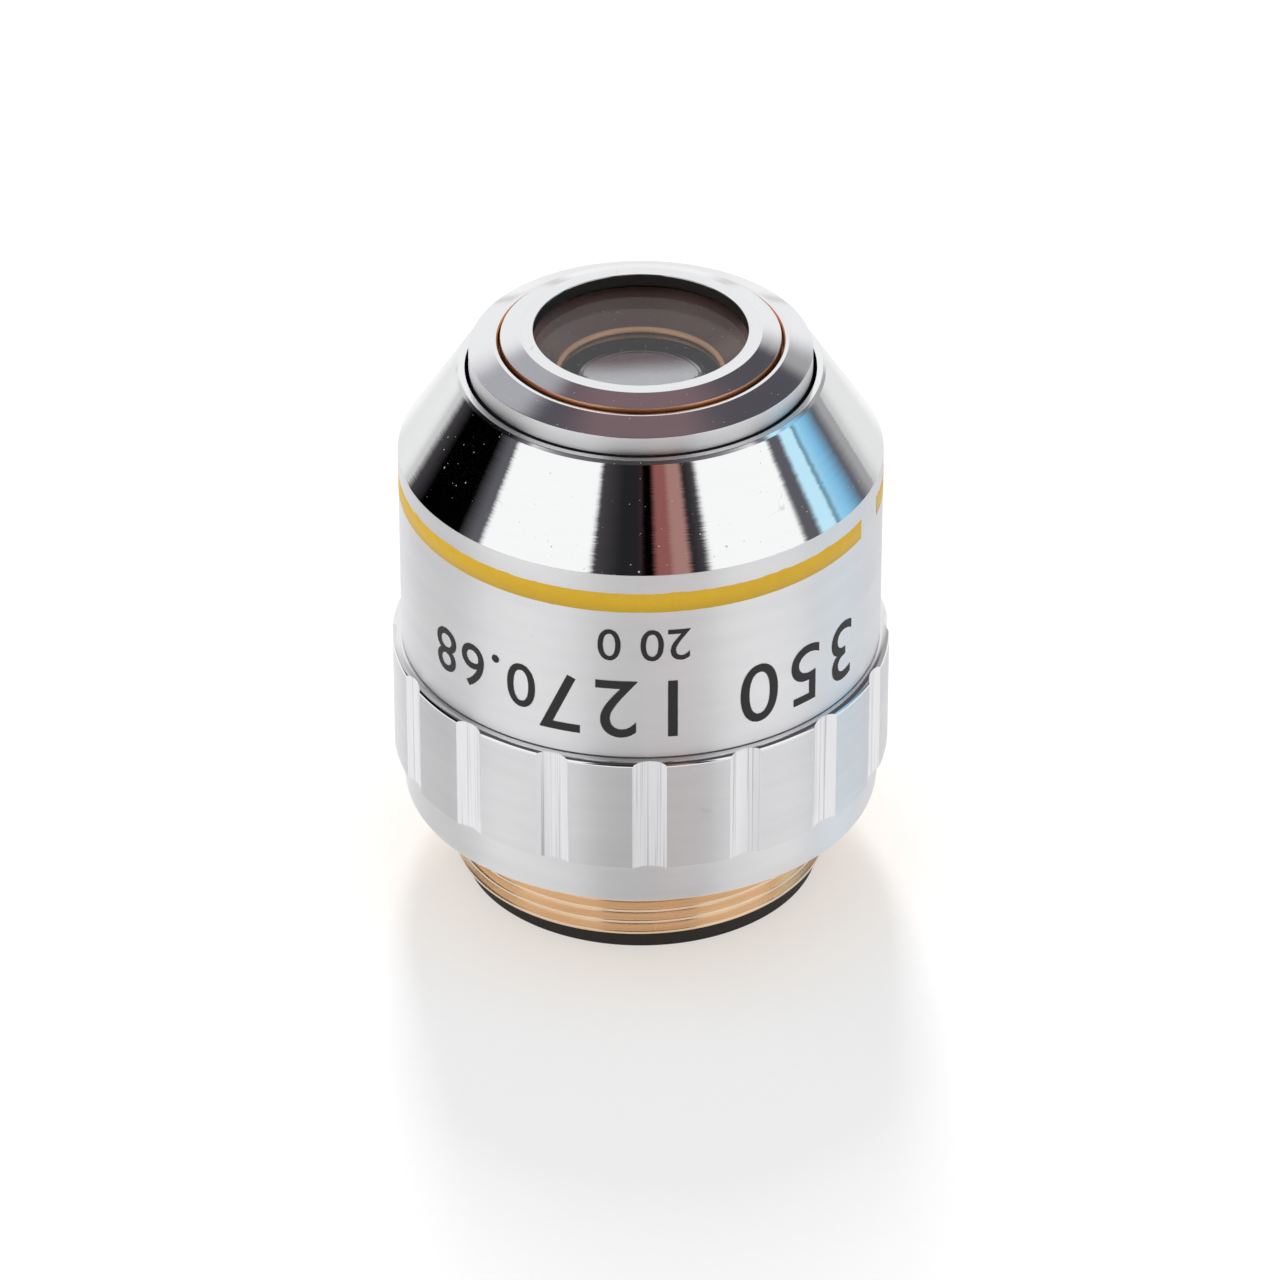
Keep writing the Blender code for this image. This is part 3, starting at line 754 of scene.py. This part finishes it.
def makeDish(d):
    # a thin cone between the glasses whose inner edge is rolled over
    outline = [(d["radius"], d["top"], 0)]
    for k in range(d["rollSteps"] + 1):
        turn = math.radians(d["rollFrom"] + d["rollSweep"] * k / d["rollSteps"])
        r = d["lipRadius"] + d["roll"] * math.cos(turn)
        outline.append((r, d["lipHeight"] + d["roll"] * math.sin(turn), 0))
    outline.append((d["radius"], d["top"] - d["wall"], 0))
    data = latheMesh("front_dish", outline)
    piece = addPiece("front_dish", data, "nose", [baffleFinish], sharp=60)
    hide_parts("front_baffle")


makeDish(dish)


# Fluted collar with its spigot, and the bare brass mounting thread below

collar = {
    "landRadius": 13.29, "bodyRadius": 12.80, "bandRadius": 12.97, "footRadius": 12.72, "shoulder": 5.12,
    "bandTop": 7.59, "landTop": 13.97, "top": 14.24, "spigot": 11.35, "chamber": 10.15, "spigotTop": 19.85,
    "floor": 7.02, "lightBore": 7.6, "socket": 8.64, "socketTop": 3.08, "threadStart": 0.96,
    "threadRoot": 9.71, "fluteCount": 16, "fluteWidth": 1.8, "fluteDepth": 0.27, "flutePhase": -88.0,
    "roundSteps": 12, "platedEdge": 0.06,
}


def makeFluteCutter(c):
    land = c["landRadius"]
    sagitta = c["fluteDepth"] - (land - math.sqrt(land ** 2 - (c["fluteWidth"] / 2) ** 2))
    radius = (sagitta ** 2 + (c["fluteWidth"] / 2) ** 2) / (2 * sagitta)
    mesh = bmesh.new()
    length = c["top"] - c["bandTop"] + 0.6
    middle = (c["top"] + c["bandTop"]) / 2
    for k in range(c["fluteCount"]):
        turn = Matrix.Rotation(math.radians(c["flutePhase"] + 360 * k / c["fluteCount"]), 4, "Z")
        place = Matrix.Translation(Vector((land - c["fluteDepth"] + radius, 0, middle)) * mm)
        bmesh.ops.create_cone(mesh, cap_ends=True, segments=96, radius1=radius * mm, radius2=radius * mm,
                              depth=length * mm, matrix=turn @ place)
    data = asData(mesh, "fluteCutter")
    data.materials.append(flutePlate)
    return data


def makeCollar(c):
    outline = [
        (c["chamber"], c["spigotTop"], 0),
        (c["spigot"], c["spigotTop"], 0),
        (c["spigot"], c["top"], 0),
    ]
    across = c["landRadius"] - c["bodyRadius"]
    rise = c["top"] - c["landTop"]
    for k in range(c["roundSteps"] + 1):
        turn = math.radians(90 - 90 * k / c["roundSteps"])
        outline.append((c["bodyRadius"] + across * math.cos(turn), c["landTop"] + rise * math.sin(turn), 0))
    outline += [
        (c["landRadius"], c["bandTop"], 0.03),
        (c["bandRadius"], c["bandTop"], 0),
        (c["footRadius"], c["shoulder"], 0.05),
        (c["threadRoot"], c["shoulder"], 0),
        (c["threadRoot"], c["threadStart"], 0.1),
        (c["socket"], c["threadStart"], 0),
        (c["socket"], c["socketTop"], 0),
        (c["lightBore"], c["socketTop"], 0),
        (c["lightBore"], c["floor"], 0),
        (c["chamber"], c["floor"], 0),
    ]
    data = latheMesh("collar_blank", outline)
    for material in (plates["collarPlate"], plates["nakedBrass"], plates["bevelPlate"]):
        data.materials.append(material)
    milled = cutAway(data, makeFluteCutter(c))
    piece = addPiece("fluted_collar", milled, "housing", [], sharp=16)
    brassTop = (c["shoulder"] + c["platedEdge"]) * mm
    bevelLow = (c["landTop"] + 0.005) * mm
    names = [slot.material.name for slot in piece.material_slots]
    flute = names.index("flutePlate")
    for face in milled.polygons:
        if face.material_index == flute:
            continue
        if face.center.z < brassTop:
            face.material_index = 1
        elif face.center.z > bevelLow:
            face.material_index = 2
    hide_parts("mount_collar")


thread = {
    "crest": 10.13, "root": 9.73, "pitch": 0.7056, "start": 0.96, "end": 5.10, "steps": 256, "rows": 170,
    "sharpness": 0.8, "flat": 1.06, "leadIn": 0.2, "leadStart": 0.14, "runOut": 0.5, "wall": 0.05,
}


def makeThread(t):
    # one rounded ridge that winds round the stub; it fades out at both ends
    mesh = bmesh.new()
    steps = t["steps"]
    rings = []
    for row in range(t["rows"] + 1):
        z = t["start"] + (t["end"] - t["start"]) * row / t["rows"]
        rise = (z - t["start"] + t["leadStart"]) / t["leadIn"]
        fade = min(1.0, rise, max(0.0, (t["end"] - z) / t["runOut"]))
        ring = []
        for k in range(steps):
            wave = 0.5 + 0.5 * math.cos(math.tau * (z / t["pitch"] - k / steps))
            wave = min(1.0, wave ** t["sharpness"] * t["flat"])
            r = t["root"] + (t["crest"] - t["root"]) * wave * max(0.0, fade)
            ring.append(mesh.verts.new(around(r, math.tau * k / steps, z)))
        rings.append(ring)
    inner = t["root"] - t["wall"]
    for z in (t["end"], t["start"]):
        rings.append([mesh.verts.new(around(inner, math.tau * k / steps, z)) for k in range(steps)])
    for lower, upper in zip(rings, rings[1:] + rings[:1]):
        for k in range(steps):
            nextK = (k + 1) % steps
            mesh.faces.new((lower[k], lower[nextK], upper[nextK], upper[k]))
    bmesh.ops.recalc_face_normals(mesh, faces=mesh.faces)
    data = asData(mesh, "mounting_thread")
    addPiece("mounting_thread", data, "housing", [plates["nakedBrass"]], sharp=60)


makeCollar(collar)
makeThread(thread)
print("collar and thread made")


# Black ring at the rear end

rearRing = {
    "radius": 9.6, "height": 0.94, "bore": 7.6, "spigot": 8.6, "spigotTop": 3.04,
    "slotWidth": 1.2, "slotDepth": 0.45, "slotReach": 9.0,
}


def makeRearRing(r):
    outline = [
        (r["bore"], r["spigotTop"], 0),
        (r["spigot"], r["spigotTop"], 0),
        (r["spigot"], r["height"], 0),
        (r["radius"], r["height"], 0.06),
        (r["radius"], 0.0, 0.08),
        (r["bore"], 0.0, 0.05),
    ]
    slots = boxMesh((2 * r["slotReach"], r["slotWidth"], 2 * r["slotDepth"]), (0, 0, 0))
    data = cutAway(latheMesh("ring_blank", outline), slots)
    piece = addPiece("rear_ring_turned", data, "housing", [blackFinish])
    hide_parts("rear_retaining_ring")


makeRearRing(rearRing)


# Yellow line round the sleeve, with a short break at the right

band = {
    "top": 24.42, "bottom": 23.26, "breakFrom": 64.0, "breakTo": 75.0, "proud": 0.012, "edge": 0.02,
    "steps": 1200, "smoothing": 3, "topWander": 0.03, "bottomWander": 0.012, "drips": 34, "ragged": 0.06,
}


def makeBand(b):
    rng = random.Random(7)
    steps = b["steps"]
    wander = [rng.uniform(-1, 1) for _ in range(steps + 1)]
    for _ in range(b["smoothing"]):
        wander = [(wander[max(i - 1, 0)] + wander[i] + wander[min(i + 1, steps)]) / 3
                  for i in range(steps + 1)]
    drips = [0.0] * (steps + 1)
    for _ in range(b["drips"]):
        middle = rng.randrange(steps)
        size = rng.uniform(0.02, b["ragged"])
        width = rng.randint(2, 7)
        for i in range(max(0, middle - width), min(steps, middle + width) + 1):
            drips[i] = max(drips[i], size * (1 - abs(i - middle) / (width + 1)))
    start = math.radians(b["breakTo"] - 90)
    sweep = math.radians(360 - (b["breakTo"] - b["breakFrom"]))
    outside = sleeve["bodyRadius"] + b["proud"]
    inside = outside - b["proud"] * 2
    mesh = bmesh.new()
    rows = []
    for i in range(steps + 1):
        angle = start + sweep * i / steps
        high = b["top"] + wander[i] * b["topWander"] + drips[i]
        low = b["bottom"] + wander[-1 - i] * b["bottomWander"]
        section = ((inside, high), (outside, high - b["edge"]), (outside, low + b["edge"]), (inside, low))
        rows.append([mesh.verts.new(around(r, angle, z)) for r, z in section])
    for left, right in zip(rows, rows[1:]):
        for k in range(3):
            mesh.faces.new((left[k], left[k + 1], right[k + 1], right[k]))
    bmesh.ops.recalc_face_normals(mesh, faces=mesh.faces)
    data = asData(mesh, "yellow_band")
    addPiece("yellow_band", data, "housing", [yellowEnamel], sharp=60)


makeBand(band)


# Plain figures on the sleeve: they stand on their heads while the nose points up

figures = {
    "big": {"text": "350 127", "size": 5.05, "azimuth": 61.0, "base": 19.02, "thick": 0.012, "spread": 1.17},
    "small": {"text": "0.68", "size": 3.75, "azimuth": -25.0, "base": 19.02, "thick": 0.016, "spread": 1.12},
    "upper": {"text": "20 0", "size": 2.7, "azimuth": 12.0, "base": 22.16, "thick": 0.012, "spread": 1.05},
}
figureEdge = {"proud": 0.010, "cutStep": 0.25, "toothPitch": 0.10, "tooth": 0.018}


def flatFigures(label, f):
    curve = bpy.data.curves.new("figure_" + label, "FONT")
    curve.body = f["text"]
    curve.size = f["size"] * mm
    curve.offset = f["thick"] * mm
    curve.space_character = f["spread"]
    curve.fill_mode = "BOTH"
    flat = bpy.data.objects.new("flat_" + label, curve)
    scene.collection.objects.link(flat)
    bpy.context.view_layer.update()
    data = bpy.data.meshes.new_from_object(flat.evaluated_get(bpy.context.evaluated_depsgraph_get()))
    bpy.data.objects.remove(flat)
    mesh = bmesh.new()
    mesh.from_mesh(data)
    bpy.data.meshes.remove(data)
    return mesh


def makeFigures(label, f, edge):
    # cut into small cells first, so that the figures bend with the sleeve and their sides get fine teeth
    mesh = flatFigures(label, f)
    row = edge["toothPitch"] / 2
    base = min(v.co.y for v in mesh.verts)
    for axis, step in enumerate((edge["cutStep"], row)):
        places = [v.co[axis] for v in mesh.verts]
        low, high = min(places), max(places)
        for k in range(1, int((high - low) / (step * mm))):
            place = Vector((0, 0, 0))
            place[axis] = low + k * step * mm
            normal = Vector((0, 0, 0))
            normal[axis] = 1
            everything = mesh.verts[:] + mesh.edges[:] + mesh.faces[:]
            bmesh.ops.bisect_plane(mesh, geom=everything, dist=1e-9, plane_co=place, plane_no=normal)
    reach = sleeve["bodyRadius"] + edge["proud"]
    for v in mesh.verts:
        shift = edge["tooth"] * (1 if round((v.co.y - base) / (row * mm)) % 2 else -1)
        azimuth = math.radians(f["azimuth"]) - (v.co.x / mm + shift) / reach
        v.co = around(reach, azimuth - math.pi / 2, f["base"] - v.co.y / mm)
    bmesh.ops.recalc_face_normals(mesh, faces=mesh.faces)
    for face in mesh.faces:
        if face.normal.dot(face.calc_center_median() * Vector((1, 1, 0))) < 0:
            face.normal_flip()
    name = "figures_" + label
    addPiece(name, asData(mesh, name), "housing", [blackPaint], sharp=60)


for label, f in figures.items():
    makeFigures(label, f, figureEdge)
print("band and figures made")


# Return spring: closed up at both ends, it shortens between the housing and the nose

spring = {"wire": 0.8, "turns": 3.5, "endTurns": 0.75, "endPitch": 1.1, "steps": 48, "sides": 16}


def makeSpring(s):
    low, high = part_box("return_spring")
    wire = s["wire"] / 2
    radius = high.x / mm - wire
    bottom = low.z / mm + wire
    top = high.z / mm - wire
    endRise = s["endTurns"] * s["wire"] * s["endPitch"]
    openTurns = s["turns"] - 2 * s["endTurns"]
    count = int(s["turns"] * s["steps"])
    mesh = bmesh.new()
    rings = []
    for i in range(count + 1):
        turn = s["turns"] * i / count
        if turn < s["endTurns"]:
            z = bottom + endRise * turn / s["endTurns"]
        elif turn > s["turns"] - s["endTurns"]:
            z = top - endRise * (s["turns"] - turn) / s["endTurns"]
        else:
            z = bottom + endRise + (top - bottom - 2 * endRise) * (turn - s["endTurns"]) / openTurns
        ring = []
        for k in range(s["sides"]):
            side = math.tau * k / s["sides"]
            place = around(radius + wire * math.cos(side), math.tau * turn, z + wire * math.sin(side))
            ring.append(mesh.verts.new(place))
        rings.append(ring)
    for before, after in zip(rings, rings[1:]):
        for k in range(s["sides"]):
            nextK = (k + 1) % s["sides"]
            mesh.faces.new((before[k], after[k], after[nextK], before[nextK]))
    mesh.faces.new(rings[0])
    mesh.faces.new(rings[-1][::-1])
    bmesh.ops.recalc_face_normals(mesh, faces=mesh.faces)
    data = asData(mesh, "coiled_spring")
    piece = addPiece("coiled_spring", data, None, [plates["bevelPlate"]], sharp=60)
    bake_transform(piece)
    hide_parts("return_spring")


makeSpring(spring)


# Finishes for the inner pieces that keep their CAD shape

# the coated glass inside keeps innerGlass's near-black tint, which is painted shade
innerFinish = {
    "brass": plates["nakedBrass"], "black_anodised": blackFinish, "spring_steel": plates["bevelPlate"],
    "coated_glass": innerGlass, "satin_plate": plates["bevelPlate"], "polished_plate": plates["mirrorPlate"],
}


def dressNodes():
    slots = {row["node"]: row["material_slot"] for row in frame["record"]["subparts"]}
    for name, node in frame["nodes"].items():
        node.data.materials.clear()
        node.data.materials.append(innerFinish[slots[name]])


dressNodes()


# Studio: floor, light and what the mirror sees round the room

floor = {
    "size": 3.0, "shade": 0.32, "grain": 0.02, "glow": 0.56, "near": 30.0, "far": 110.0, "farLevel": 0.72,
    "beside": (0.2, 0.5), "rearNear": -8.0, "rearFar": 95.0, "rearLevel": 0.74,
    "warm": (1.0, 0.965, 0.925), "warmNear": 10.5, "warmFar": 19.0,
}


def makeFloor(f):
    mesh = bmesh.new()
    bmesh.ops.create_grid(mesh, x_segments=8, y_segments=8, size=f["size"])
    data = asData(mesh, "floor")
    piece = bpy.data.objects.new("floor", data)
    scene.collection.objects.link(piece)
    material, tree, shader = startMaterial("floorPaper")
    position, x, y, _, radius = objectPosition(tree)
    path = tree.nodes.new("ShaderNodeLightPath")
    mirrored = mathNode(tree, "MAXIMUM", path.outputs["Is Glossy Ray"], path.outputs["Is Transmission Ray"])
    seen = mathNode(tree, "MAXIMUM", path.outputs["Is Camera Ray"], mirrored)
    # painted shade for mirrors: seen in the metal, the paper darkens away from the object to the sides and
    # behind it; straight on it stays white
    beside = softStep(tree, mathNode(tree, "DIVIDE", mathNode(tree, "ABSOLUTE", x), radius), *f["beside"])
    away = times(tree, times(tree, softStep(tree, radius, f["near"], f["far"]), mirrored), beside)
    rear = times(tree, softStep(tree, y, f["rearNear"], f["rearFar"]), mirrored)
    rear = times(tree, rear, minus(tree, 1.0, beside))
    level = times(tree, minus(tree, 1.0, times(tree, away, 1 - f["farLevel"])),
                  minus(tree, 1.0, times(tree, rear, 1 - f["rearLevel"])))
    grain = plus(tree, times(tree, noise(tree, position, 1.6, 4.0, 0.6), f["grain"]), f["shade"])
    shade = times(tree, level, grain)
    paper = tree.nodes.new("ShaderNodeCombineColor")
    for channel in paper.inputs:
        tree.links.new(shade, channel)
    # painted warm light round the foot, for the warmth the brass throws on the paper
    tint = mixColor(tree, softStep(tree, radius, f["warmNear"], f["warmFar"]), (*f["warm"], 1), (1, 1, 1, 1))
    tree.links.new(mixColor(tree, 1.0, paper.outputs[0], tint, "MULTIPLY"), shader.inputs["Base Color"])
    shader.inputs["Roughness"].default_value = 0.9
    shader.inputs["Specular IOR Level"].default_value = 0.0
    tree.links.new(tint, shader.inputs["Emission Color"])
    tree.links.new(times(tree, times(tree, seen, level), f["glow"]), shader.inputs["Emission Strength"])
    data.materials.append(material)


makeFloor(floor)

# what stands round the table: soft boxes at both sides, the camera between them
room = {
    "white": (1.0, 1.0, 1.0), "black": (0.0, 0.0, 0.0), "ink": (0.017, 0.016, 0.018),
    "charcoal": (0.06, 0.055, 0.06), "slate": (0.11, 0.11, 0.125), "pewter": (0.38, 0.38, 0.39),
    "silver": (0.62, 0.62, 0.63), "rust": (0.04, 0.022, 0.024), "pink": (0.28, 0.10, 0.09),
    "rose": (0.39, 0.21, 0.185), "paleBlue": (0.55, 0.85, 1.0), "steelBlue": (0.01, 0.04, 0.07),
    "midBlue": (0.34, 0.68, 0.90), "skyBlue": (0.22, 0.52, 0.78), "diffuse": (0.86, 0.86, 0.86),
    "ceilingFront": (0.05, 0.045, 0.045), "ceilingMiddle": (0.20, 0.135, 0.15), "haze": (0.90, 0.905, 0.91),
    "ceilingRight": (0.085, 0.08, 0.095), "ceilingLeft": (0.42, 0.42, 0.455),
}
# azimuth from the camera's side towards +X, and the colour there
roomBands = [
    (-180, "silver"), (-129, "silver"), (-124, "charcoal"), (-114, "black"), (-90, "black"),
    (-82, "slate"), (-78, "slate"), (-77, "white"), (-24.5, "white"), (-23, "charcoal"),
    (-10, "ink"), (-1, "ink"), (0, "rust"), (1.5, "black"), (6.5, "black"),
    (7.5, "pink"), (14, "pink"), (16, "rose"), (22.5, "rose"), (25, "ink"), (31.5, "charcoal"),
    (34, "white"), (79.5, "white"), (80.5, "slate"), (88, "slate"),
    (89.5, "paleBlue"), (97.5, "paleBlue"), (98.8, "steelBlue"), (100.6, "midBlue"),
    (108, "skyBlue"), (117, "slate"), (124, "pewter"),
]
# where one part of the room's upper half gives way to the next, by the direction's x, y and z
ceiling = {
    "start": (0.60, 0.68), "lean": 0.15, "middle": (-0.05, 0.18), "right": (0.15, 0.38),
    "leftAcross": (0.27, 0.34), "leftBack": (0.33, 0.45), "haze": (0.68, 0.83), "hazeSkew": 0.2,
}


def makeWorld(c):
    world = bpy.data.worlds.new("studio")
    scene.world = world
    world.use_nodes = True
    tree = world.node_tree
    background = tree.nodes["Background"]
    coords = tree.nodes.new("ShaderNodeTexCoord")
    parts = tree.nodes.new("ShaderNodeSeparateXYZ")
    tree.links.new(coords.outputs["Generated"], parts.inputs[0])
    x, y, z = parts.outputs
    azimuth = mathNode(tree, "ARCTAN2", x, times(tree, y, -1.0))
    share = plus(tree, mathNode(tree, "DIVIDE", azimuth, math.tau), 0.5)
    ramp = tree.nodes.new("ShaderNodeValToRGB")
    tree.links.new(share, ramp.inputs[0])
    stops = ramp.color_ramp.elements
    stops[0].position = 0.0
    stops[1].position = roomBands[-1][0] / 360 + 0.5
    stops[0].color = (*room[roomBands[0][1]], 1)
    stops[1].color = (*room[roomBands[-1][1]], 1)
    for edge, name in roomBands[1:-1]:
        stops.new(edge / 360 + 0.5).color = (*room[name], 1)

    def over(factor, under, name):
        return mixColor(tree, factor, under, (*room[name], 1))

    above = over(softStep(tree, y, *c["middle"]), (*room["ceilingFront"], 1), "ceilingMiddle")
    above = over(softStep(tree, mathNode(tree, "ABSOLUTE", x), *c["right"]), above, "ceilingRight")
    left = softStep(tree, times(tree, x, -1.0), *c["leftAcross"])
    left = times(tree, left, softStep(tree, y, *c["leftBack"]))
    above = over(left, above, "ceilingLeft")
    height = plus(tree, z, times(tree, y, c["lean"]))
    pattern = mixColor(tree, softStep(tree, height, *c["start"]), ramp.outputs["Color"], above)
    skew = times(tree, mathNode(tree, "MAXIMUM", x, 0.0), c["hazeSkew"])
    pattern = over(softStep(tree, minus(tree, y, skew), *c["haze"]), pattern, "haze")

    # light that reaches a dull surface through the glass comes from the plain room
    path = tree.nodes.new("ShaderNodeLightPath")
    mirrored = mathNode(tree, "MAXIMUM", path.outputs["Is Glossy Ray"], path.outputs["Is Transmission Ray"])
    mirrored = minus(tree, mirrored, path.outputs["Diffuse Depth"], clamp=True)
    plain = over(path.outputs["Is Camera Ray"], (*room["diffuse"], 1), "white")
    tree.links.new(mixColor(tree, mirrored, plain, pattern), background.inputs["Color"])
    background.inputs["Strength"].default_value = 1.0


makeWorld(ceiling)

lamps = {
    "backSoftbox": {"place": (-0.03, 0.42, 0.42), "size": (0.08, 0.28), "power": 3.3},
    "leftSoftbox": {"place": (-0.50, 0.18, 0.30), "size": (0.20, 0.20), "power": 0.3},
}


def makeLamps(lamps):
    for name, lamp in lamps.items():
        light = bpy.data.lights.new(name, "AREA")
        light.shape = "RECTANGLE"
        light.size, light.size_y = lamp["size"]
        light.energy = lamp["power"]
        holder = bpy.data.objects.new(name, light)
        scene.collection.objects.link(holder)
        # the metal mirrors the room above, not these
        holder.visible_glossy = False
        holder.visible_transmission = False
        holder.location = lamp["place"]
        aim = Vector((0, 0, 0.01)) - Vector(lamp["place"])
        holder.rotation_euler = aim.to_track_quat("-Z", "Y").to_euler()


makeLamps(lamps)

view = {
    "distance": 420.0, "elevation": 33.1, "aimHeight": 13.26,
    "focalPixels": 7845.0, "framePixels": 1280.0, "axisOffset": 0.8,
}


def makeCamera(v):
    data = bpy.data.cameras.new("camera")
    camera = bpy.data.objects.new("camera", data)
    scene.collection.objects.link(camera)
    tilt = math.radians(v["elevation"])
    height = v["aimHeight"] + v["distance"] * math.sin(tilt)
    camera.location = (0, -v["distance"] * math.cos(tilt) * mm, height * mm)
    camera.rotation_euler = (math.radians(90) - tilt, 0, 0)
    data.sensor_width = 36.0
    data.lens = v["focalPixels"] / v["framePixels"] * data.sensor_width
    data.shift_x = -v["axisOffset"] / v["framePixels"]
    data.clip_start = 0.01
    data.clip_end = 10.0
    scene.camera = camera


makeCamera(view)
print("studio made")
